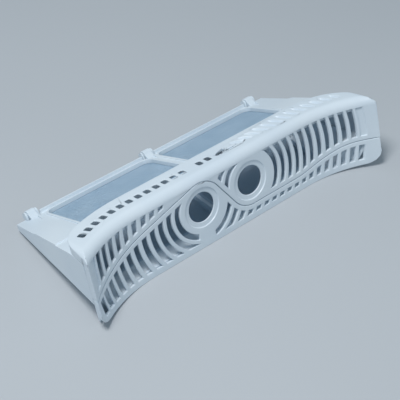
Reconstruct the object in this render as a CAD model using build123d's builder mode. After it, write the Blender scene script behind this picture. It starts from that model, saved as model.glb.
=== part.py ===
"""Tumble dryer filter: a wedge-shaped lint pocket in two hinged halves.

The filter is drawn in its own wedge frame, in millimetres: X along the grille, Y from the grille face
to the hinge at the rear, Z up the face, with the zero point on the middle of the face, level with the
finger holes. The finished pieces are then turned so that the flat lower half lies on the table.
"""

import math
import os

from build123d import *

# Finger holes in the grille face
finger_radius = 11.0
finger_offset = 22.2
finger_shift = -2.3
dish_radius = 14.6
dish_depth = 0.9

# Grille face: straight in the middle, bent forward at both ends
straight_half = 73.0
bend_radius = 86.0
bend_most = 0.98
half_width = 129.7
face_bottom = -30.0
flange_top = 24.2
flange_depth = 25.0
foot_depth = 12.0
foot_half = 78.0
rim_depth = 5.0
grille_wall = 2.2
top_corner = 6.6
end_top_radius = 6.0
end_low_radius = 10.0
flange_round_left = 0.96
flange_round_right = 1.5
round_most = 1.25
flange_inset_left = 0.5
flange_inset_right = 0.3

# Seam between the upper and the lower grille, an S around the two finger holes
seam_radius = 18.6
seam_end = -9.7
seam_gap = 0.5
tail_start = 70.0
tail_end = 108.0
tail_radius = 70.0

# Air slots, rings round the finger hole of the same half
slot_width = 4.3
slot_pitch = 7.15
slot_start_left = 21.4
slot_start_right = 24.8
left_stretch = 1.075
slot_margin = 3.7
slot_top = 17.2
slot_bottom = -25.4
slot_least = 5.0
slot_clear = 7.0
upper_slot_end = 14.0
lower_slot_end = 6.2
blind_depth = 1.0

# Holes in the top flange, which is thinner along the square ones
square_hole = 4.2
square_depth = 8.4
square_count = 17
flange_web = 1.2
relief_margin = 2.0
hole_pitch = 7.48
hole_end = 18.0
hole_row = 13.8
cross_width = 3.0
cross_first = 8.0
cross_growth = 1.3
cross_most = 13.0
cross_least = 8.5
cross_shrink = 1.0
cross_through = 2
cross_fade = 2.5
cross_depth = 1.3
cross_turn_first = 115.0
cross_turn_last = 18.0

# Upper and lower frames
rear_edge = 96.0
rear_half = 117.5
plate = 2.2
side_wall = 2.0
roof_rear = 1.5
roof_angle = 9.4
brow_height = 16.6
floor_angle = 14.0
floor_drop = 10.13334
floor_margin = 12.0
parting_rear = -1.0
skirt_front = -14.7
skirt_rear = -2.9
web_depth = 6.0
web_inner = 108.0
fit = 0.3

# Mesh windows in both frames
rear_bar = 5.5
window_length = 61.0
floor_window_length = 76.0
window_width = 92.0
rib_width = 8.0
window_corner = 7.0
bead_width = 1.8
bead_height = 1.1
mesh_thickness = 0.5
mesh_lap = 2.5

# Lip along the rear edge and step on each side bar of the upper frame
lip_height = 2.6
lip_width = 1.8
lip_half = 98.0
step_rear = 30.0
step_ramp = 6.0
step_front = 70.0
step_height = 1.0
step_inner = 99.0

# Snap hinge along the rear edge
hinge_y = 97.5
hinge_z = 3.2
hinge_spacing = 104.4
clip_radius = 3.6
clip_width = 6.4
clip_mouth = 3.2
pin_radius = 2.0
pin_clearance = 0.1
ear_radius = 3.0
ear_thickness = 1.6
ear_gap = 0.4
notch_depth = 5.4
fin_length = 7.8
fin_width = 2.2
fin_height = 1.8
fin_rear = 6.8
fin_shift = 2.2
rail_width = 6.0

# Distance beyond every piece, for cutting areas
reach = 180.0


def slot_stretch(right_side):
    """Spread of the slots on one bent end."""
    return 1.0 if right_side else left_stretch


def bent_x(along):
    """X of a slot at a distance along the face from the middle, spread on the bent ends."""
    bent = max(abs(along) - straight_half, 0.0) * slot_stretch(along > 0)
    x = min(abs(along), straight_half) + bend_radius * math.sin(bent / bend_radius)
    return math.copysign(x, along)


def face_y(x):
    """Y of the face at a given X."""
    bent = max(abs(x) - straight_half, 0.0)
    return math.sqrt(bend_radius**2 - bent**2) - bend_radius


tip_y = face_y(half_width)
splay = (half_width - rear_half) / (rear_edge - tip_y)
face_end = straight_half + bend_radius * math.asin((half_width - straight_half) / bend_radius)
bend_sweep = math.degrees(math.asin(min(bend_most, (half_width + rim_depth - straight_half) / bend_radius)))

roof_plane = Plane(
    origin=(0, rear_edge, roof_rear),
    x_dir=(1, 0, 0),
    z_dir=(0, math.sin(math.radians(roof_angle)), math.cos(math.radians(roof_angle))),
)
floor_normal = (0, -math.sin(math.radians(floor_angle)), math.cos(math.radians(floor_angle)))
floor_slope = math.tan(math.radians(floor_angle))
rest_plane = Plane(
    origin=(0, rear_edge, face_bottom + rear_edge * floor_slope), x_dir=(1, 0, 0), z_dir=floor_normal
)
floor_plane = rest_plane.offset(grille_wall)
parting_run = rear_edge - tip_y
parting_rise = parting_rear - seam_end
parting_plane = Plane(
    origin=(0, tip_y, seam_end), x_dir=(1, 0, 0), z_dir=(0, -parting_rise, parting_run)
)
skirt_plane = Plane(
    origin=(0, tip_y, skirt_front), x_dir=(1, 0, 0), z_dir=(0, skirt_front - skirt_rear, parting_run)
)
brow_plane = Plane.XY.offset(brow_height)

# The floor's corners lie where the bent face has come forward by floor_drop, clear of its rounded ends
floor_bend = math.sqrt(bend_radius**2 - (bend_radius - floor_drop) ** 2)
floor_half = min(straight_half + floor_bend, half_width - floor_margin)

left_finger = finger_shift - finger_offset
right_finger = finger_shift + finger_offset


def behind_face(depth):
    """Plan area behind a line that follows the face at the given depth."""
    with BuildSketch() as area:
        with BuildLine():
            Line((-straight_half, depth), (straight_half, depth))
            right = CenterArc((straight_half, -bend_radius), bend_radius + depth, 90, -bend_sweep)
            left = CenterArc((-straight_half, -bend_radius), bend_radius + depth, 90, bend_sweep)
            Polyline(
                right @ 1,
                (reach, (right @ 1).Y),
                (reach, reach),
                (-reach, reach),
                (-reach, (left @ 1).Y),
                left @ 1,
            )
        make_face()
    return area.sketch


def block_behind_face(depth):
    """Everything behind a line that follows the face at the given depth."""
    area = behind_face(depth)
    with BuildPart() as block:
        extrude(area, amount=reach, both=True)
    return block.part


def side_x(y, outward=0.0):
    """X of the outer side of the frames at a given Y."""
    return rear_half + (rear_edge - y) * splay + outward


def plan_outline(outward, rear):
    """Plan of the frames, widened by a given amount, as far back as the given Y."""
    with BuildSketch() as outline:
        with BuildLine():
            Polyline(
                (-side_x(-reach, outward), -reach),
                (side_x(-reach, outward), -reach),
                (side_x(rear, outward), rear),
                (-side_x(rear, outward), rear),
                close=True,
            )
        make_face()
    return outline.sketch


def cover_plan(inset, depth):
    """Plan of the grille cover, its rear corners rounded by a share of its depth."""
    back = behind_face(depth - inset)
    rim = behind_face(rim_depth)
    whole = plan_outline(-inset, reach)
    with BuildSketch() as flange:
        with BuildLine():
            Polyline(
                (-side_x(tip_y, -inset), tip_y),
                (side_x(tip_y, -inset), tip_y),
                (side_x(depth, -inset - flange_inset_right), depth),
                (-side_x(depth, -inset - flange_inset_left), depth),
                close=True,
            )
        make_face()
        add(back, mode=Mode.SUBTRACT)
        for side, share in ((-1, flange_round_left), (1, flange_round_right)):
            outer = [v for v in flange.vertices() if side * v.X > straight_half + top_corner]
            corner = max(outer, key=lambda v: v.Y)
            fillet(corner, min(share * depth, round_most * (corner.Y - tip_y)) - inset)
    with BuildSketch() as outline:
        add(whole)
        add(rim, mode=Mode.SUBTRACT)
        add(flange.sketch)
    return outline.sketch


def front_outline(inset):
    """Front view of the closed grille, with its rounded ends."""
    height = flange_top - face_bottom - 2 * inset
    with BuildSketch(Plane.XZ) as outline:
        with Locations((0, (flange_top + face_bottom) / 2)):
            Rectangle(2 * (half_width - inset), height)
        fillet(outline.vertices().group_by(Axis.Y)[-1], end_top_radius - inset)
        fillet(outline.vertices().group_by(Axis.Y)[0], end_low_radius - inset)
    return outline.sketch


def cover_solid(inset, depth):
    """Solid form of the grille cover, set in from its outer surface, with a rounded top corner."""
    height = flange_top - face_bottom - 2 * inset
    outline = front_outline(inset)
    plan = cover_plan(inset, depth)
    with BuildPart() as cover:
        with BuildLine() as path:
            Line((0, 0), (straight_half, 0))
            CenterArc((straight_half, -bend_radius), bend_radius, 90, -bend_sweep)
        with BuildSketch(Plane.YZ) as section:
            with Locations((inset, face_bottom + inset)):
                Rectangle(depth - 2 * inset, height, align=(Align.MIN, Align.MIN))
            fillet(section.vertices().group_by(Axis.Y)[-1].sort_by(Axis.X)[0], top_corner - inset)
        sweep(path=path.line)
        mirror(about=Plane.YZ)
        extrude(outline, amount=reach, both=True, mode=Mode.INTERSECT)
        extrude(plan, amount=reach, both=True, mode=Mode.INTERSECT)
    return cover.part


def seam_area(above):
    """Front view of everything above or below the seam."""
    ends_angle = math.degrees(math.atan2(-seam_end, half_width + left_finger))
    distance = math.hypot(half_width + left_finger, seam_end)
    rise = ends_angle + math.degrees(math.asin(seam_radius / distance))
    lean = math.degrees(math.asin(seam_radius / finger_offset))
    end_z = seam_end - (reach - half_width) * math.tan(math.radians(rise))
    closing_z = reach if above else -reach
    with BuildSketch(Plane.XZ) as area:
        with BuildLine():
            over_left = CenterArc((left_finger, 0), seam_radius, 90 + rise, -rise - lean)
            under_right = CenterArc((right_finger, 0), seam_radius, 270 - lean, lean)
            Line(over_left @ 1, under_right @ 0)
            tail = FilletPolyline(
                under_right @ 1,
                (tail_start, -seam_radius),
                (tail_end, seam_end),
                (reach, seam_end),
                radius=tail_radius,
            )
            Polyline(
                tail @ 1,
                (reach, closing_z),
                (-reach, closing_z),
                (-reach, end_z),
                over_left @ 0,
            )
        make_face()
    return area.sketch


def seam_block(above, distance):
    """Everything above or below the seam, at least the given distance from it."""
    area = offset(seam_area(above), amount=-distance, kind=Kind.INTERSECTION)
    with BuildPart() as block:
        extrude(area, amount=reach, both=True)
    return block.part


def ring_slots(above, low, high, first_ring, last_ring, right_side):
    """Slots between two heights that follow rings round the finger hole of one half."""
    centre = right_finger if above else left_finger
    side = 1 if right_side else -1
    start = slot_start_right if right_side else slot_start_left
    with BuildSketch(Plane.XZ) as rings:
        with Locations((centre, 0)):
            for ring in range(last_ring, first_ring - 1, -1):
                radius = abs(bent_x(centre + side * (start + ring * slot_pitch)) - centre)
                Circle(radius + slot_width / 2)
                Circle(radius - slot_width / 2, mode=Mode.SUBTRACT)
        with Locations((centre + side * slot_clear, low)):
            align = (Align.MIN if right_side else Align.MAX, Align.MIN)
            Rectangle(reach, high - low, align=align, mode=Mode.INTERSECT)
    return rings.sketch


def ring_count(above, right_side, end_margin):
    """Rings of slots that fit between a finger hole and the end of the face."""
    centre = right_finger if above else left_finger
    bend_room = (face_end - end_margin - straight_half) / slot_stretch(right_side)
    room = straight_half + bend_room - (centre if right_side else -centre)
    start = slot_start_right if right_side else slot_start_left
    return int((room - start) / slot_pitch) + 1


def slot_cutter(above, low, high, rings_left, rings_right, depth):
    """Slots of one half, cut from the front to the given depth and kept clear of the seam."""
    field = offset(seam_area(above), amount=-slot_margin, kind=Kind.INTERSECTION)
    sides = [ring_slots(above, low, high, *rings_left, False)]
    sides.append(ring_slots(above, low, high, *rings_right, True))
    slots = []
    for side in sides:
        with BuildSketch(Plane.XZ) as clear:
            add(side)
            add(field, mode=Mode.INTERSECT)
        slots += [slot for slot in clear.sketch.faces() if slot.area > slot_least]
    behind = block_behind_face(depth)
    with BuildPart() as cutter:
        extrude(slots, amount=reach, both=True)
        add(behind, mode=Mode.SUBTRACT)
    return cutter.part


def cut_block(area, keep, *planes):
    """A plan area as a tall block, cut by planes."""
    with BuildPart() as block:
        extrude(area, amount=reach, both=True)
        for plane in planes:
            split(bisect_by=plane, keep=keep)
    return block.part


def flange_point(along):
    """Point on the top flange at a distance along the row of holes from the middle, and its turn."""
    run = bend_radius + hole_row
    turn = max(abs(along) - straight_half, 0.0) / run
    x = min(abs(along), straight_half) + run * math.sin(turn)
    angle = -math.copysign(math.degrees(turn), along)
    return math.copysign(x, along), run * math.cos(turn) - bend_radius, angle


# Tools that shape more than one piece
upper_form = cover_solid(0, flange_depth)
upper_hollow = cover_solid(grille_wall, flange_depth)
lower_form = cover_solid(0, foot_depth)
lower_hollow = cover_solid(grille_wall, foot_depth + 2 * grille_wall)
trim_hollow = cover_solid(grille_wall + fit / 2, flange_depth + 2 * grille_wall)
above_seam = seam_block(True, seam_gap / 2)
below_seam = seam_block(False, seam_gap / 2)
behind_wall = block_behind_face(grille_wall + fit)
behind_rim = block_behind_face(rim_depth)
behind_joint = block_behind_face(rim_depth + fit)
under_roof = cut_block(behind_face(rim_depth), Keep.BOTTOM, roof_plane, brow_plane)
over_floor = cut_block(behind_face(rim_depth), Keep.TOP, floor_plane)
frame_plan = plan_outline(0, rear_edge)
inner_plan = plan_outline(-side_wall, rear_edge - side_wall)

# Upper grille: front wall with its rounded corner, top flange and the return behind it
upper_left = ring_count(True, False, upper_slot_end)
upper_right = ring_count(True, True, upper_slot_end)
upper_slots = slot_cutter(True, -reach, slot_top, (0, upper_left - 1), (0, upper_right - 1), rim_depth)
blind_slots = slot_cutter(True, -reach, slot_top, (upper_left,) * 2, (upper_right,) * 2, blind_depth)
hole_first = hole_end - face_end
hole_row_count = int((face_end - hole_end - hole_first) / hole_pitch) + 1
cross_count = hole_row_count - square_count
relief_half = square_depth / 2 + relief_margin
relief_strip = behind_face(hole_row - relief_half) - behind_face(hole_row + relief_half)
relief_left = flange_point(hole_first)[0] - square_hole
relief_right = flange_point(hole_first + (square_count - 1) * hole_pitch)[0] + square_hole
with BuildPart() as upper_grille:
    add(upper_form)
    add(upper_hollow, mode=Mode.SUBTRACT)
    add(under_roof, mode=Mode.SUBTRACT)
    add(above_seam, mode=Mode.INTERSECT)
    add(upper_slots, mode=Mode.SUBTRACT)
    add(blind_slots, mode=Mode.SUBTRACT)
    with BuildSketch(Plane.XZ):
        with Locations((right_finger, 0)):
            Circle(dish_radius)
    extrude(amount=-dish_depth, mode=Mode.SUBTRACT)
    with BuildSketch(Plane.XZ):
        with Locations((right_finger, 0)):
            Circle(finger_radius)
    extrude(amount=rim_depth, both=True, mode=Mode.SUBTRACT)
    with BuildSketch(Plane.XY.offset(flange_top - flange_web)):
        add(relief_strip)
        with Locations(((relief_left + relief_right) / 2, 0)):
            Rectangle(relief_right - relief_left, reach, mode=Mode.INTERSECT)
    extrude(amount=-grille_wall, mode=Mode.SUBTRACT)
    with BuildSketch(Plane.XY.offset(flange_top)):
        for hole in range(square_count):
            x, y, turn = flange_point(hole_first + hole * hole_pitch)
            with Locations(Location((x, y), turn)):
                Rectangle(square_hole, square_depth)
    extrude(amount=-2 * grille_wall, mode=Mode.SUBTRACT)
    for hole in range(cross_count):
        x, y, turn = flange_point(hole_first + (square_count + hole) * hole_pitch)
        fade = math.exp(-hole / cross_fade)
        turn = cross_turn_last + (cross_turn_first - cross_turn_last) * fade
        growing = cross_first + hole * cross_growth
        shrinking = cross_least + (cross_count - hole) * cross_shrink
        length = min(growing, cross_most, shrinking)
        with BuildSketch(Plane.XY.offset(flange_top)):
            with Locations(Location((x, y), turn)):
                Rectangle(cross_width, length)
        extrude(amount=-2 * grille_wall if hole < cross_through else -cross_depth, mode=Mode.SUBTRACT)

# Lower grille: front wall with a narrow rim and the foot it stands on
lower_left = ring_count(False, False, lower_slot_end)
lower_right = ring_count(False, True, lower_slot_end)
lower_slots = slot_cutter(False, slot_bottom, reach, (0, lower_left - 1), (0, lower_right - 1), rim_depth)
with BuildPart() as beside_foot:
    add(behind_rim)
    Box(2 * foot_half, 3 * reach, 3 * reach, mode=Mode.SUBTRACT)
with BuildPart() as lower_grille:
    add(lower_form)
    split(bisect_by=rest_plane, keep=Keep.TOP)
    add(split(lower_hollow, bisect_by=floor_plane, keep=Keep.TOP, mode=Mode.PRIVATE), mode=Mode.SUBTRACT)
    add(over_floor, mode=Mode.SUBTRACT)
    add(beside_foot.part, mode=Mode.SUBTRACT)
    add(below_seam, mode=Mode.INTERSECT)
    add(lower_slots, mode=Mode.SUBTRACT)
    with BuildSketch(Plane.XZ):
        with Locations((left_finger, 0)):
            Circle(dish_radius)
    extrude(amount=-dish_depth, mode=Mode.SUBTRACT)
    with BuildSketch(Plane.XZ):
        with Locations((left_finger, 0)):
            Circle(finger_radius)
    extrude(amount=rim_depth, both=True, mode=Mode.SUBTRACT)

# Places shared by the two frames
window_middles = [side * (rib_width + window_width) / 2 for side in (-1, 1)]
window_places = [(x, -rear_bar - window_length / 2) for x in window_middles]
floor_window_places = [(x, -rear_bar - floor_window_length / 2) for x in window_middles]
hinge_places = (-hinge_spacing, 0, hinge_spacing)
notch_width = clip_width + 2 * ear_thickness + 4 * ear_gap
arm_root = hinge_y - notch_depth - side_wall
arm_top = roof_rear + (rear_edge - arm_root) * math.tan(math.radians(roof_angle))

# Step on the side bars, with a ramp towards the front
step_profile = Plane(
    origin=(step_inner, rear_edge, roof_rear), x_dir=roof_plane.y_dir, z_dir=(1, 0, 0)
)
with BuildPart() as side_steps:
    with BuildSketch(step_profile):
        with BuildLine():
            Polyline(
                (-step_rear, 0),
                (-step_rear - step_ramp, step_height),
                (-step_front, step_height),
                (-step_front, 0),
                close=True,
            )
        make_face()
    extrude(amount=reach)
    mirror(about=Plane.YZ)
    extrude(frame_plan, amount=reach, both=True, mode=Mode.INTERSECT)

# Upper frame: roof with two windows, end walls, rear wall and snap clips
cover_front = upper_form - trim_hollow - behind_joint
roof_inside = cut_block(inner_plan, Keep.BOTTOM, roof_plane.offset(-plate), brow_plane.offset(-plate))
lid_room = cut_block(plan_outline(-side_wall, rear_edge), Keep.BOTTOM, parting_plane.offset(seam_gap / 2))
with BuildPart() as body_frame:
    extrude(frame_plan, amount=reach, both=True)
    split(bisect_by=roof_plane, keep=Keep.BOTTOM)
    split(bisect_by=brow_plane, keep=Keep.BOTTOM)
    split(bisect_by=skirt_plane, keep=Keep.TOP)
    add(roof_inside, mode=Mode.SUBTRACT)
    add(lid_room, mode=Mode.SUBTRACT)
    add(behind_wall, mode=Mode.INTERSECT)
    add(cover_front, mode=Mode.SUBTRACT)
    add(side_steps.part)
    with BuildSketch(roof_plane):
        Rectangle(2 * lip_half, lip_width, align=(Align.CENTER, Align.MAX))
    extrude(amount=lip_height)
    with BuildSketch(roof_plane):
        with Locations(*window_places):
            RectangleRounded(
                window_width + 2 * bead_width, window_length + 2 * bead_width, window_corner + bead_width
            )
    extrude(amount=bead_height)
    with BuildSketch(roof_plane.offset(bead_height)):
        with Locations(*window_places):
            RectangleRounded(window_width, window_length, window_corner)
    extrude(amount=-2 * plate - bead_height, mode=Mode.SUBTRACT)
    with BuildSketch(Plane.XY):
        with Locations(*[(x, hinge_y - notch_depth) for x in hinge_places]):
            Rectangle(notch_width, reach, align=(Align.CENTER, Align.MIN))
    extrude(amount=reach, both=True, mode=Mode.SUBTRACT)
    for x in hinge_places:
        with BuildSketch(Plane.YZ.offset(x - clip_width / 2)):
            with BuildLine():
                Polyline(
                    (arm_root, arm_top - plate),
                    (hinge_y, hinge_z - clip_radius),
                    (hinge_y, hinge_z + clip_radius),
                    (arm_root, arm_top),
                    close=True,
                )
            make_face()
            with Locations((hinge_y, hinge_z)):
                Circle(clip_radius)
                Circle(pin_radius + pin_clearance, mode=Mode.SUBTRACT)
                Rectangle(reach, clip_mouth, align=(Align.MIN, Align.CENTER), mode=Mode.SUBTRACT)
        extrude(amount=clip_width)
    for x in hinge_places:
        fin_side = x + fin_shift - fin_width / 2
        fin_plane = Plane(
            origin=(fin_side, rear_edge, roof_rear), x_dir=roof_plane.y_dir, z_dir=(1, 0, 0)
        )
        with BuildSketch(fin_plane):
            with BuildLine():
                Polyline(
                    (-fin_rear, 0), (-fin_rear, fin_height), (-fin_rear - fin_length, 0), close=True
                )
            make_face()
        extrude(amount=fin_width)

# Lower frame: floor with two windows, sloping sides, rear rail and hinge pins
floor_front = face_bottom + tip_y * floor_slope
low_corner = Vector(floor_half, tip_y, floor_front)
front_corner = Vector(side_x(tip_y, -side_wall - fit), tip_y, seam_end)
rear_corner = Vector(side_x(rear_edge, -side_wall - fit), rear_edge, parting_rear)
right_side = Plane(
    origin=front_corner,
    x_dir=rear_corner - front_corner,
    z_dir=(low_corner - front_corner).cross(rear_corner - front_corner),
)
left_side = Plane(
    origin=(-front_corner.X, front_corner.Y, front_corner.Z),
    x_dir=(front_corner.X - rear_corner.X, rear_corner.Y - front_corner.Y, rear_corner.Z - front_corner.Z),
    z_dir=(-right_side.z_dir.X, right_side.z_dir.Y, right_side.z_dir.Z),
)
lid_plan = plan_outline(-side_wall - fit, rear_edge)
with BuildPart() as floor_inside:
    extrude(inner_plan, amount=reach, both=True)
    split(bisect_by=floor_plane.offset(plate), keep=Keep.TOP)
    split(bisect_by=right_side.offset(-side_wall), keep=Keep.BOTTOM)
    split(bisect_by=left_side.offset(-side_wall), keep=Keep.BOTTOM)
web_area = behind_face(web_depth) - behind_face(web_depth + side_wall)
with BuildPart() as end_webs:
    extrude(web_area, amount=reach, both=True)
    Box(2 * web_inner, 3 * reach, 3 * reach, mode=Mode.SUBTRACT)
    extrude(lid_plan, amount=reach, both=True, mode=Mode.INTERSECT)
    split(bisect_by=floor_plane, keep=Keep.TOP)
    split(bisect_by=parting_plane.offset(-seam_gap / 2), keep=Keep.BOTTOM)
with BuildPart() as lid_frame:
    extrude(lid_plan, amount=reach, both=True)
    split(bisect_by=floor_plane, keep=Keep.TOP)
    split(bisect_by=parting_plane.offset(-seam_gap / 2), keep=Keep.BOTTOM)
    split(bisect_by=right_side, keep=Keep.BOTTOM)
    split(bisect_by=left_side, keep=Keep.BOTTOM)
    add(floor_inside.part, mode=Mode.SUBTRACT)
    add(end_webs.part)
    add(behind_wall, mode=Mode.INTERSECT)
    add(cover_front, mode=Mode.SUBTRACT)
    with BuildSketch(floor_plane):
        with Locations(*floor_window_places):
            RectangleRounded(window_width, floor_window_length, window_corner)
    extrude(amount=2 * plate, mode=Mode.SUBTRACT)
    with BuildSketch(floor_plane):
        Rectangle(2 * floor_half, rail_width, align=(Align.CENTER, Align.MAX))
    extrude(amount=-grille_wall)
    for x in hinge_places:
        for side in (-1, 1):
            inner = x + side * (clip_width / 2 + ear_gap)
            with BuildSketch(Plane.YZ.offset(inner)):
                with Locations((hinge_y, hinge_z)):
                    Circle(ear_radius)
                with Locations((rear_edge, parting_rear - seam_gap)):
                    Rectangle(1.5 * side_wall, side_wall, align=(Align.MAX, Align.MAX))
                make_hull()
            extrude(amount=side * ear_thickness)
        with BuildSketch(Plane.YZ.offset(x)):
            with Locations((hinge_y, hinge_z)):
                Circle(pin_radius)
        extrude(amount=clip_width / 2 + ear_gap + ear_thickness, both=True)

# Mesh sheets, welded under the roof and on the floor
mesh_sheets = {}
for side, roof_place, floor_place in zip(("left", "right"), window_places, floor_window_places):
    with BuildPart() as upper_mesh:
        with BuildSketch(roof_plane.offset(-plate)):
            with Locations(roof_place):
                Rectangle(window_width + 2 * mesh_lap, window_length + 2 * mesh_lap)
        extrude(amount=-mesh_thickness)
    with BuildPart() as lower_mesh:
        with BuildSketch(floor_plane.offset(plate)):
            with Locations(floor_place):
                Rectangle(window_width + 2 * mesh_lap, floor_window_length + 2 * mesh_lap)
        extrude(amount=mesh_thickness)
    mesh_sheets[f"upper_mesh_{side}"] = upper_mesh
    mesh_sheets[f"lower_mesh_{side}"] = lower_mesh

# Every piece turned so that the floor is level, with the zero point under the middle of the filter
pieces = {
    "body_frame": body_frame,
    "upper_grille": upper_grille,
    "lid_frame": lid_frame,
    "lower_grille": lower_grille,
    **mesh_sheets,
}
level = Location((0, 0, 0), (-floor_angle, 0, 0))
whole = Compound([piece.part.moved(level) for piece in pieces.values()]).bounding_box()
at_rest = Location((0, -whole.center().Y, -whole.min.Z)) * level

os.makedirs("parts", exist_ok=True)
for name, piece in pieces.items():
    placed = piece.part.moved(at_rest)
    placed.label = name
    export_step(placed, f"parts/{name}.step")

hinge = at_rest * Location((0, hinge_y, hinge_z))
print("hinge axis", hinge.position)
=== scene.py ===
import math

import bmesh
import bpy
from mathutils import Matrix, Vector
from mathutils.bvhtree import BVHTree


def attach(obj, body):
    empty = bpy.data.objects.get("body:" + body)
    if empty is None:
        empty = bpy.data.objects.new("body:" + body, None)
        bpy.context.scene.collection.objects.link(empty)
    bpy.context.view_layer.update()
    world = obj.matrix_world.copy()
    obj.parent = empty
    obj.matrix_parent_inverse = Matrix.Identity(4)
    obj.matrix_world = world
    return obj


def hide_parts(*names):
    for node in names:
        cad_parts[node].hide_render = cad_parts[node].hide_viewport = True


millimetre = 0.001

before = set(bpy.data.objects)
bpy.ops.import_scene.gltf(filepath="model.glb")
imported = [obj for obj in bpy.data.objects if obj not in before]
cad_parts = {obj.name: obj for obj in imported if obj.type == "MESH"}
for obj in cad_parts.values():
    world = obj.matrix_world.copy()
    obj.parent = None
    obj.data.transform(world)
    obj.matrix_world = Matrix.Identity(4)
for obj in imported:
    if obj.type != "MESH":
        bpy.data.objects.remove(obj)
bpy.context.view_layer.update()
print("frame loaded:", ", ".join(sorted(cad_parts)))


# small helpers for objects

def addObject(name, data):
    thing = bpy.data.objects.new(name, data)
    bpy.context.scene.collection.objects.link(thing)
    return thing


def makeShape(name, corners, faces):
    mesh = bpy.data.meshes.new(name)
    mesh.from_pydata(corners, [], faces)
    return addObject(name, mesh)


def makePlain(thing):
    # what the modifiers do goes into the mesh
    graph = bpy.context.evaluated_depsgraph_get()
    mesh = bpy.data.meshes.new_from_object(thing.evaluated_get(graph), depsgraph=graph)
    thing.modifiers.clear()
    thing.data = mesh
    mesh.name = thing.name


def openMesh(mesh):
    work = bmesh.new()
    work.from_mesh(mesh)
    return work


def closeMesh(work, mesh):
    bmesh.ops.triangulate(work, faces=work.faces, quad_method="BEAUTY", ngon_method="BEAUTY")
    work.to_mesh(mesh)
    work.free()


# small helpers for node trees

def addNode(tree, kind, **settings):
    node = tree.nodes.new(kind)
    for name, value in settings.items():
        setattr(node, name, value)
    return node


def setInputs(node, **values):
    for name, value in values.items():
        node.inputs[name.replace("_", " ")].default_value = value


def addMath(tree, operation, first, second):
    node = addNode(tree, "ShaderNodeMath", operation=operation)
    tree.links.new(first, node.inputs[0])
    tree.links.new(second, node.inputs[1])
    return node.outputs[0]


def addScaled(tree, source, factor):
    node = addNode(tree, "ShaderNodeMath", operation="MULTIPLY")
    tree.links.new(source, node.inputs[0])
    node.inputs[1].default_value = factor
    return node.outputs[0]


def addOnAxis(tree, axis, value):
    node = addNode(tree, "ShaderNodeCombineXYZ")
    tree.links.new(value, node.inputs[axis])
    return node.outputs[0]


def addEnds(tree, axis, length):
    # both ends of a length that has its middle at the origin
    half = addScaled(tree, length, 0.5)
    return addOnAxis(tree, axis, addScaled(tree, half, -1)), addOnAxis(tree, axis, half)


def addNamed(tree, name):
    node = addNode(tree, "GeometryNodeInputNamedAttribute", data_type="FLOAT_VECTOR")
    node.inputs["Name"].default_value = name
    return node.outputs["Attribute"]


def addOutput(tree, geometry, material):
    real = addNode(tree, "GeometryNodeRealizeInstances")
    tree.links.new(geometry, real.inputs["Geometry"])
    paint = addNode(tree, "GeometryNodeSetMaterial")
    paint.inputs["Material"].default_value = material
    tree.links.new(real.outputs["Geometry"], paint.inputs["Geometry"])
    output = addNode(tree, "NodeGroupOutput")
    tree.links.new(paint.outputs["Geometry"], output.inputs["Geometry"])


# materials: each drifts faintly between a shade and a light over the surface
rampSpan = (0.3, 0.7)


def newMaterial(name):
    material = bpy.data.materials.new(name)
    material.use_nodes = True
    tree = material.node_tree
    shader = tree.nodes["Principled BSDF"]
    place = addNode(tree, "ShaderNodeTexCoord").outputs["Object"]
    return material, tree, shader, place


def addNoise(tree, place, scale, detail):
    noise = addNode(tree, "ShaderNodeTexNoise")
    setInputs(noise, Scale=scale, Detail=detail)
    tree.links.new(place, noise.inputs["Vector"])
    return noise.outputs["Fac"]


def addRamp(tree, factor, low, high):
    ramp = addNode(tree, "ShaderNodeValToRGB")
    for element, position, colour in zip(ramp.color_ramp.elements, rampSpan, (low, high)):
        element.position = position
        element.color = (*colour, 1)
    tree.links.new(factor, ramp.inputs["Fac"])
    return ramp.outputs["Color"]


def addRange(tree, factor, low, high):
    spread = addNode(tree, "ShaderNodeMapRange")
    setInputs(spread, To_Min=low, To_Max=high)
    tree.links.new(factor, spread.inputs["Value"])
    return spread.outputs["Result"]


def addClouds(tree, shader, place, look):
    clouds = addNoise(tree, place, look["cloudScale"], look["cloudDetail"])
    tree.links.new(addRamp(tree, clouds, look["shade"], look["light"]), shader.inputs["Base Color"])
    return clouds


# satin white plastic with a cool tint, faint flow marks and a fine spark-eroded grain
mouldedPlastic = {
    "name": "satinWhitePlastic",
    "shade": (0.70, 0.79, 0.87),
    "light": (0.77, 0.85, 0.91),
    "cloudScale": 22,
    "cloudDetail": 3,
    "grainScale": 2600,
    "grainDetail": 2,
    "grainHeight": 0.00004,
    "grainStrength": 0.35,
    "roughness": (0.27, 0.36),
    "index": 1.49,
}


def makeMouldedPlastic(look):
    material, tree, shader, place = newMaterial(look["name"])
    clouds = addClouds(tree, shader, place, look)
    tree.links.new(addRange(tree, clouds, *look["roughness"]), shader.inputs["Roughness"])
    grain = addNoise(tree, place, look["grainScale"], look["grainDetail"])
    bump = addNode(tree, "ShaderNodeBump")
    setInputs(bump, Strength=look["grainStrength"], Distance=look["grainHeight"])
    tree.links.new(grain, bump.inputs["Height"])
    tree.links.new(bump.outputs["Normal"], shader.inputs["Normal"])
    shader.inputs["IOR"].default_value = look["index"]
    return material


# pale grey-blue filament of the filter mesh
meshThread = {
    "name": "meshThread",
    "shade": (0.46, 0.62, 0.76),
    "light": (0.54, 0.69, 0.82),
    "cloudScale": 60,
    "cloudDetail": 4,
    "roughness": (0.6, 0.75),
}


def makeMeshThread(look):
    material, tree, shader, place = newMaterial(look["name"])
    clouds = addClouds(tree, shader, place, look)
    tree.links.new(addRange(tree, clouds, *look["roughness"]), shader.inputs["Roughness"])
    return material


plasticMaterial = makeMouldedPlastic(mouldedPlastic)
threadMaterial = makeMeshThread(meshThread)
print("materials made")


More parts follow.
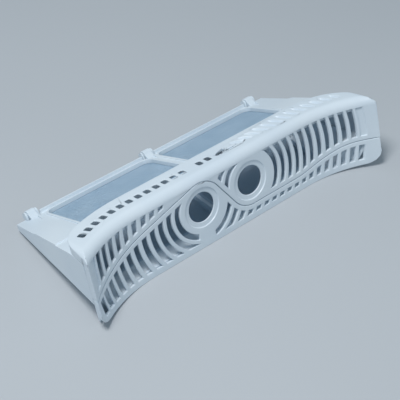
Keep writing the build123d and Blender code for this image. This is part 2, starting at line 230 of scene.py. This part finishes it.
# moulded pieces: each is a copy of its solid with the sharp edges rounded
mouldedPieces = {
    "upperFrame": {"node": "body_frame", "body": "body", "edge": 0.35 * millimetre},
    "upperGrille": {"node": "upper_grille", "body": "body", "edge": 0.45 * millimetre},
    "lowerFrame": {"node": "lid_frame", "body": "lid", "edge": 0.30 * millimetre},
    "lowerGrille": {"node": "lower_grille", "body": "lid", "edge": 0.45 * millimetre},
}
sharpEdge = math.radians(28)
flatEdge = math.radians(0.4)
edgeSegments = 2
wideFaceWeight = 100
mergeDistance = 0.02 * millimetre
strayShare = 0.6  # a rounded point further off the sharp shape than this share of the rounding has strayed


def mergeFaces(source, target):
    work = openMesh(source)
    bmesh.ops.remove_doubles(work, verts=work.verts, dist=mergeDistance)
    bmesh.ops.dissolve_limit(work, angle_limit=flatEdge, verts=work.verts, edges=work.edges)
    closeMesh(work, target)


def splitFaces(mesh):
    work = openMesh(mesh)
    bmesh.ops.dissolve_degenerate(work, edges=work.edges, dist=mergeDistance)
    closeMesh(work, mesh)


def volumeOf(mesh):
    work = openMesh(mesh)
    volume = work.calc_volume()
    work.free()
    return volume


def plainCopy(name, piece):
    mesh = bpy.data.meshes.new(name)
    mergeFaces(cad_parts[piece["node"]].data, mesh)
    mesh.materials.clear()
    mesh.materials.append(plasticMaterial)
    return addObject(name, mesh)


def roundEdges(copy, piece):
    copy.data.shade_smooth()
    bevel = copy.modifiers.new("roundedEdges", "BEVEL")
    bevel.width = piece["edge"]
    bevel.segments = edgeSegments
    bevel.limit_method = "ANGLE"
    bevel.angle_limit = sharpEdge
    bevel.use_clamp_overlap = False
    makePlain(copy)


def surfaceOf(copy):
    corners = [vertex.co for vertex in copy.data.vertices]
    return BVHTree.FromPolygons(corners, [face.vertices for face in copy.data.polygons])


def pullBack(copy, piece, surface):
    # a few tiny edges throw rounded points off, and they go back onto the sharp shape
    strayed = 0
    for vertex in copy.data.vertices:
        nearest, _, _, distance = surface.find_nearest(vertex.co)
        if distance > strayShare * piece["edge"]:
            vertex.co = nearest
            strayed += 1
    copy.data.update()
    return strayed


def evenShading(copy):
    # wide faces stay flat to the light, and only the rounded edges turn it
    shading = copy.modifiers.new("evenShading", "WEIGHTED_NORMAL")
    shading.mode = "FACE_AREA"
    shading.weight = wideFaceWeight
    shading.keep_sharp = True
    makePlain(copy)


# top flange, in millimetres and degrees: it is straight in the middle and bends at both ends
flangeRow = {
    "origin": (0, -36.506, 29.1089),
    "slope": -14,
    "top": 24.2,
    "straightHalf": 73.0,
    "faceRadius": 86.0,
    "rowRadius": 99.8,
    "first": -116.9,
    "volumeSlack": 0.08,
}
# the row of holes and grooves in the solid, and plugs for it that are a little larger all round
solidRow = {
    "squares": 17,
    "crosses": 15,
    "pitch": 7.48,
    "firstLength": 8,
    "lengthStep": 1.3,
    "mostLength": 13,
    "lastLength": 8.5,
    "lastTurn": 18,
    "extraTurn": 97,
    "turnFade": 2.5,
    "plugProud": 0.2,
    "squarePlug": (4.8, 9.0, 1.2),
    "crossPlugWidth": 3.6,
    "crossPlugSpare": 0.6,
    "crossPlugDepth": 2.7,
}
# the row that is cut instead, with rounder corners
cutRow = {
    "squares": 16,
    "pitch": 7.6,
    "squareSize": (4.6, 5.8),
    "leaves": [
        {"along": 7.9, "out": 0.0, "turn": -69, "size": (3.6, 10.0)},
        {"along": 17.9, "out": -1.2, "turn": -89, "size": (2.6, 9.4)},
    ],
    "holeProud": 1,
    "holeDepth": 4.2,
    "grooveWidth": 4.0,
    "grooveStretch": 1.25,
    "grooveOut": 1.0,
    "grooveDepth": 1.9,
    "grooveProud": 0.6,
}
# outlines run from a box at an endless power to an ellipse at a power of two
flangeShapes = {
    "plug": {"steps": 4, "power": math.inf, "taper": 1.0},
    "square": {"steps": 20, "power": 4.5, "taper": 1.0},
    "leaf": {"steps": 16, "power": 2.2, "taper": 1.0},
    "groove": {"steps": 16, "power": 2.4, "taper": 0.55},
}
rowToTable = (
    Matrix.Translation(Vector(flangeRow["origin"]) * millimetre)
    @ Matrix.Rotation(math.radians(flangeRow["slope"]), 4, "X")
    @ Matrix.Scale(millimetre, 4)
)


def bendAngle(along):
    return max(abs(along) - flangeRow["straightHalf"], 0) / flangeRow["rowRadius"]


def squareTurn(along):
    return -math.copysign(bendAngle(along), along)


def rowPlace(along, proud, turn, size, out=0.0):
    # middle, turn and size of a shape on the row, with its upper face proud of the flange
    angle = bendAngle(along)
    reach = flangeRow["rowRadius"] + out
    x = min(abs(along), flangeRow["straightHalf"]) + reach * math.sin(angle)
    y = reach * math.cos(angle) - flangeRow["faceRadius"]
    z = flangeRow["top"] + proud - size[2] / 2
    return {"middle": (math.copysign(x, along), y, z), "turn": turn, "size": size}


def crossTurn(index):
    extra = solidRow["extraTurn"] * math.exp(-index / solidRow["turnFade"])
    return math.radians(solidRow["lastTurn"] + extra)


def crossLength(index):
    growing = solidRow["firstLength"] + solidRow["lengthStep"] * index
    falling = solidRow["lastLength"] + solidRow["crosses"] - index
    return min(growing, solidRow["mostLength"], falling)


def crossAlong(index):
    return flangeRow["first"] + (solidRow["squares"] + index) * solidRow["pitch"]


def solidPlaces():
    places = []
    proud = solidRow["plugProud"]
    for index in range(solidRow["squares"]):
        along = flangeRow["first"] + index * solidRow["pitch"]
        places.append(rowPlace(along, proud, squareTurn(along), solidRow["squarePlug"]))
    for index in range(solidRow["crosses"]):
        length = crossLength(index) + solidRow["crossPlugSpare"]
        size = (solidRow["crossPlugWidth"], length, solidRow["crossPlugDepth"])
        places.append(rowPlace(crossAlong(index), proud, crossTurn(index), size))
    return places


def holePlaces():
    places = []
    size = (*cutRow["squareSize"], cutRow["holeDepth"])
    for index in range(cutRow["squares"]):
        along = flangeRow["first"] + index * cutRow["pitch"]
        places.append(rowPlace(along, cutRow["holeProud"], squareTurn(along), size))
    return places


def leafPlaces():
    places = []
    for leaf in cutRow["leaves"]:
        turn = math.radians(leaf["turn"])
        size = (*leaf["size"], cutRow["holeDepth"])
        places.append(rowPlace(leaf["along"], cutRow["holeProud"], turn, size, leaf["out"]))
    return places


def groovePlaces():
    # the leaves stand in for the first crosses of the solid
    places = []
    proud = cutRow["grooveProud"]
    for index in range(len(cutRow["leaves"]), solidRow["crosses"]):
        length = crossLength(index) * cutRow["grooveStretch"]
        size = (cutRow["grooveWidth"], length, cutRow["grooveDepth"] + proud)
        places.append(rowPlace(crossAlong(index), proud, crossTurn(index), size, cutRow["grooveOut"]))
    return places


def makePrism(name, steps, power, taper):
    # upright prism of unit size, narrowed at its foot by the taper
    ring = []
    for step in range(steps):
        angle = 2 * math.pi * (step + 0.5) / steps
        spots = (math.cos(angle), math.sin(angle))
        ring.append([math.copysign(abs(spot) ** (2 / power), spot) / 2 for spot in spots])
    corners = [(x, y, 0.5) for x, y in ring] + [(x * taper, y * taper, -0.5) for x, y in ring]
    faces = [tuple(range(steps)), tuple(reversed(range(steps, 2 * steps)))]
    for step in range(steps):
        after = (step + 1) % steps
        faces.append((step, step + steps, after + steps, after))
    return makeShape(name, corners, faces)


def makeRowTree():
    tree = bpy.data.node_groups.new("flangeRow", "GeometryNodeTree")
    tree.interface.new_socket("Geometry", in_out="INPUT", socket_type="NodeSocketGeometry")
    shapeInput = tree.interface.new_socket("Shape", in_out="INPUT", socket_type="NodeSocketObject")
    tree.interface.new_socket("Geometry", in_out="OUTPUT", socket_type="NodeSocketGeometry")
    inputs = addNode(tree, "NodeGroupInput").outputs
    shape = addNode(tree, "GeometryNodeObjectInfo")
    tree.links.new(inputs["Shape"], shape.inputs["Object"])
    spread = addNode(tree, "GeometryNodeInstanceOnPoints")
    tree.links.new(inputs["Geometry"], spread.inputs["Points"])
    tree.links.new(shape.outputs["Geometry"], spread.inputs["Instance"])
    tree.links.new(addNamed(tree, "turn"), spread.inputs["Rotation"])
    tree.links.new(addNamed(tree, "size"), spread.inputs["Scale"])
    addOutput(tree, spread.outputs["Instances"], plasticMaterial)
    return tree, shapeInput.identifier


def giveAttribute(mesh, name, values):
    attribute = mesh.attributes.new(name, "FLOAT_VECTOR", "POINT")
    for entry, value in zip(attribute.data, values):
        entry.vector = value


def makeRow(name, shape, places, tree, shapeInput):
    row = makeShape(name, [place["middle"] for place in places], [])
    giveAttribute(row.data, "turn", [(0, 0, place["turn"]) for place in places])
    giveAttribute(row.data, "size", [place["size"] for place in places])
    modifier = row.modifiers.new("flangeRow", "NODES")
    modifier.node_group = tree
    modifier[shapeInput] = shape
    makePlain(row)
    row.data.transform(rowToTable)
    return row


def levelTop(copy):
    # the plugs stand proud of the flange, and here they go down to its level
    tableToRow = rowToTable.inverted()
    for vertex in copy.data.vertices:
        spot = tableToRow @ vertex.co
        if spot.z > flangeRow["top"]:
            spot.z = flangeRow["top"]
            vertex.co = rowToTable @ spot


def recutFlange(copy):
    solidMesh = copy.data.copy()
    tree, shapeInput = makeRowTree()
    shapes = {name: makePrism(name + "Shape", **outline) for name, outline in flangeShapes.items()}
    plugs = solidPlaces()
    steps = [
        ("plugsEven", "UNION", "plug", plugs[0::2]),
        ("plugsOdd", "UNION", "plug", plugs[1::2]),
        ("squareHoles", "DIFFERENCE", "square", holePlaces()),
        ("leafHoles", "DIFFERENCE", "leaf", leafPlaces()),
        ("grooves", "DIFFERENCE", "groove", groovePlaces()),
    ]
    for name, operation, shape, places in steps:
        row = makeRow(name, shapes[shape], places, tree, shapeInput)
        cut = copy.modifiers.new(name, "BOOLEAN")
        cut.operation = operation
        cut.solver = "EXACT"
        cut.object = row
        makePlain(copy)
        if operation == "UNION":
            levelTop(copy)
            mergeFaces(copy.data, copy.data)
        bpy.data.objects.remove(row)
        print(name, "done,", len(copy.data.polygons), "faces")
    for shape in shapes.values():
        bpy.data.objects.remove(shape)
    splitFaces(copy.data)
    share = volumeOf(copy.data) / volumeOf(solidMesh)
    print("flange cut, with", round(share, 3), "of the solid's volume")
    if abs(share - 1) > flangeRow["volumeSlack"]:
        copy.data = solidMesh  # a cut that went wrong leaves the flange as the solid has it


def dress(piece, body, node):
    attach(piece, body)
    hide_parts(node)


for name, piece in mouldedPieces.items():
    moulding = plainCopy(name, piece)
    if piece["node"] == "upper_grille":
        recutFlange(moulding)
    surface = surfaceOf(moulding)
    roundEdges(moulding, piece)
    strayed = pullBack(moulding, piece, surface)
    evenShading(moulding)
    dress(moulding, piece["body"], piece["node"])
    print(name, "rounded,", len(moulding.data.polygons), "faces,", strayed, "points pulled back")


# filter mesh: two layers of fine threads that cross, as large as the sheet they stand for
meshPanels = {
    "upperMeshLeft": {"node": "upper_mesh_left", "body": "body", "frame": "upperFrame"},
    "upperMeshRight": {"node": "upper_mesh_right", "body": "body", "frame": "upperFrame"},
    "lowerMeshLeft": {"node": "lower_mesh_left", "body": "lid", "frame": "lowerFrame"},
    "lowerMeshRight": {"node": "lower_mesh_right", "body": "lid", "frame": "lowerFrame"},
}
meshWeave = {"Pitch": 0.62 * millimetre, "Thread": 0.20 * millimetre}
threadSides = 6
# a layer's threads are spread over its span, each as long as its run, on the lower or the upper side
meshLayers = [
    {"span": "Width", "across": "X", "run": "Length", "along": "Y", "side": -1},
    {"span": "Length", "across": "Y", "run": "Width", "along": "X", "side": 1},
]


def threadLayer(tree, inputs, layer):
    count = addMath(tree, "DIVIDE", inputs[layer["span"]], inputs["Pitch"])
    room = addMath(tree, "SUBTRACT", inputs[layer["span"]], inputs["Thread"])
    first, last = addEnds(tree, layer["across"], room)
    row = addNode(tree, "GeometryNodeMeshLine", mode="END_POINTS", count_mode="TOTAL")
    tree.links.new(count, row.inputs["Count"])
    tree.links.new(first, row.inputs["Start Location"])
    tree.links.new(last, row.inputs["Offset"])
    near, far = addEnds(tree, layer["along"], inputs[layer["run"]])
    line = addNode(tree, "GeometryNodeCurvePrimitiveLine")
    tree.links.new(near, line.inputs["Start"])
    tree.links.new(far, line.inputs["End"])
    section = addNode(tree, "GeometryNodeCurvePrimitiveCircle")
    section.inputs["Resolution"].default_value = threadSides
    tree.links.new(addScaled(tree, inputs["Thread"], 0.5), section.inputs["Radius"])
    thread = addNode(tree, "GeometryNodeCurveToMesh")
    thread.inputs["Fill Caps"].default_value = True
    tree.links.new(line.outputs["Curve"], thread.inputs["Curve"])
    tree.links.new(section.outputs["Curve"], thread.inputs["Profile Curve"])
    spread = addNode(tree, "GeometryNodeInstanceOnPoints")
    tree.links.new(row.outputs["Mesh"], spread.inputs["Points"])
    tree.links.new(thread.outputs["Mesh"], spread.inputs["Instance"])
    lift = addMath(tree, "SUBTRACT", inputs["Thickness"], inputs["Thread"])
    height = addScaled(tree, lift, 0.5 * layer["side"])
    placed = addNode(tree, "GeometryNodeTransform")
    tree.links.new(spread.outputs["Instances"], placed.inputs["Geometry"])
    tree.links.new(addOnAxis(tree, "Z", height), placed.inputs["Translation"])
    return placed.outputs["Geometry"]


def makeWeaveTree():
    tree = bpy.data.node_groups.new("meshWeave", "GeometryNodeTree")
    tree.interface.new_socket("Geometry", in_out="OUTPUT", socket_type="NodeSocketGeometry")
    identifiers = {}
    for name in ("Width", "Length", "Thickness", "Pitch", "Thread"):
        socket = tree.interface.new_socket(name, in_out="INPUT", socket_type="NodeSocketFloat")
        identifiers[name] = socket.identifier
    for name in ("Centre", "Turn"):
        socket = tree.interface.new_socket(name, in_out="INPUT", socket_type="NodeSocketVector")
        identifiers[name] = socket.identifier
    inputs = addNode(tree, "NodeGroupInput").outputs
    joined = addNode(tree, "GeometryNodeJoinGeometry")
    for layer in meshLayers:
        tree.links.new(threadLayer(tree, inputs, layer), joined.inputs["Geometry"])
    placed = addNode(tree, "GeometryNodeTransform")
    tree.links.new(joined.outputs["Geometry"], placed.inputs["Geometry"])
    tree.links.new(inputs["Centre"], placed.inputs["Translation"])
    tree.links.new(inputs["Turn"], placed.inputs["Rotation"])
    addOutput(tree, placed.outputs["Geometry"], threadMaterial)
    return tree, identifiers


weaveTree, weaveInputs = makeWeaveTree()


def sheetPlace(node):
    # size, middle and slope of a thin flat sheet, read from its solid
    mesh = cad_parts[node].data
    widest = max(mesh.polygons, key=lambda face: face.area)
    normal = widest.normal if widest.normal.z > 0 else -widest.normal
    turn = math.atan2(-normal.y, normal.z)
    level = Matrix.Rotation(-turn, 4, "X")
    corners = [level @ vertex.co for vertex in mesh.vertices]
    low = Vector([min(corner[axis] for corner in corners) for axis in range(3)])
    high = Vector([max(corner[axis] for corner in corners) for axis in range(3)])
    centre = level.inverted() @ ((low + high) / 2)
    return high - low, centre, turn


def weavePanel(name, size, centre, turn):
    panel = addObject(name, bpy.data.meshes.new(name))
    modifier = panel.modifiers.new("meshWeave", "NODES")
    modifier.node_group = weaveTree
    values = {"Width": size.x, "Length": size.y, "Thickness": size.z, **meshWeave}
    values["Centre"] = tuple(centre)
    values["Turn"] = (turn, 0.0, 0.0)
    for key, value in values.items():
        modifier[weaveInputs[key]] = value
    makePlain(panel)
    return panel


for name, panel in meshPanels.items():
    size, centre, turn = sheetPlace(panel["node"])
    sheet = weavePanel(name, size, centre, turn)
    dress(sheet, panel["body"], panel["node"])
    print(name, "woven,", len(sheet.data.polygons), "faces")


# plain pale floor that runs out of sight
floorPlate = {
    "name": "paleFloor",
    "half": 6.0,
    "shade": (0.50, 0.53, 0.56),
    "light": (0.53, 0.56, 0.59),
    "cloudScale": 1.5,
    "cloudDetail": 2,
    "roughness": 0.75,
}


def makeFloor(look):
    material, tree, shader, place = newMaterial(look["name"])
    addClouds(tree, shader, place, look)
    shader.inputs["Roughness"].default_value = look["roughness"]
    half = look["half"]
    corners = [(-half, -half, 0), (half, -half, 0), (half, half, 0), (-half, half, 0)]
    floor = makeShape("floor", corners, [(0, 1, 2, 3)])
    floor.data.materials.append(material)


# soft studio light: a key from above and a little to the left, a weak fill from the right and an even sky
studioLamps = {
    "keyLamp": {"place": (-0.5, -0.1, 1.4), "size": 0.5, "watts": 14},
    "fillLamp": {"place": (0.9, -1.1, 0.7), "size": 1.2, "watts": 1.0},
}
studioSky = {"colour": (0.70, 0.87, 1.0), "strength": 0.34}
lampTarget = Vector((0, 0, 0.02))


def makeLights():
    for name, lamp in studioLamps.items():
        data = bpy.data.lights.new(name, "AREA")
        data.shape = "DISK"
        data.size = lamp["size"]
        data.energy = lamp["watts"]
        light = addObject(name, data)
        light.location = lamp["place"]
        light.rotation_euler = (lampTarget - light.location).to_track_quat("-Z", "Y").to_euler()
    world = bpy.data.worlds.new("studioSky")
    world.use_nodes = True
    sky = world.node_tree.nodes["Background"]
    sky.inputs["Color"].default_value = (*studioSky["colour"], 1)
    sky.inputs["Strength"].default_value = studioSky["strength"]
    bpy.context.scene.world = world


# camera at the photograph's viewing angle, in degrees and metres, with its lens in millimetres
viewCamera = {
    "place": (-0.36623, -0.45157, 0.48294),
    "azimuth": -39.299,
    "elevation": 39.739,
    "roll": -1.771,
    "lens": 92.947,
    "sensor": 36,
    "nearest": 0.01,
}


def makeCamera(view):
    data = bpy.data.cameras.new("viewCamera")
    data.lens = view["lens"]
    data.sensor_width = view["sensor"]
    data.sensor_fit = "HORIZONTAL"
    data.clip_start = view["nearest"]
    camera = addObject("viewCamera", data)
    tilt = Matrix.Rotation(math.radians(90 - view["elevation"]), 4, "X")
    heading = Matrix.Rotation(math.radians(view["azimuth"]), 4, "Z")
    roll = Matrix.Rotation(math.radians(view["roll"]), 4, "Z")
    camera.matrix_world = Matrix.Translation(view["place"]) @ heading @ tilt @ roll
    bpy.context.scene.camera = camera


makeFloor(floorPlate)
makeLights()
makeCamera(viewCamera)
bpy.context.scene.view_settings.view_transform = "Standard"
print("floor, lights and camera set")
